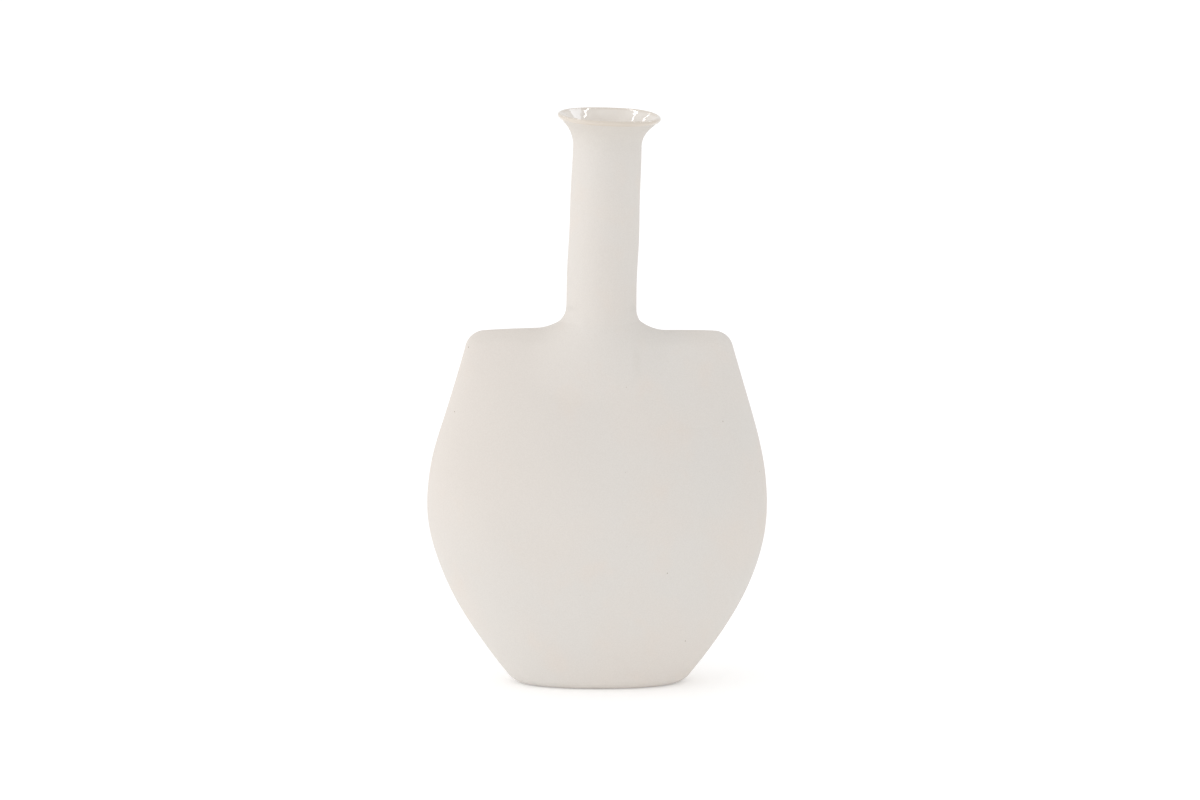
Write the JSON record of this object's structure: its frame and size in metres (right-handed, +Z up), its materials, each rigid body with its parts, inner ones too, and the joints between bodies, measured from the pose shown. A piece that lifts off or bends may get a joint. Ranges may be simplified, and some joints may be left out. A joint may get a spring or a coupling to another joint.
{
  "type": "bud vase",
  "caption": "Flat flask-shaped ceramic bud vase with square shoulders, a slim leaning neck and a flared glazed lip.",
  "frame": {"origin": "on the table under the middle of the foot, at the bottom centre of the overall box", "axes": "+Z up along the neck, +X to the right across the wide body, the front faces -Y"},
  "size_m": [0.1414, 0.069, 0.24],
  "materials": {
    "matte_clay": "matte bisque",
    "foot_clay": "dry unglazed",
    "gloss_glaze": "gloss"
  },
  "bodies": {
    "root": {"front_wall": "matte_clay", "back_wall": "matte_clay", "foot": "foot_clay", "neck": "matte_clay", "lip": "matte_clay", "glaze_liner": "gloss_glaze"}
  },
  "joints": []
}
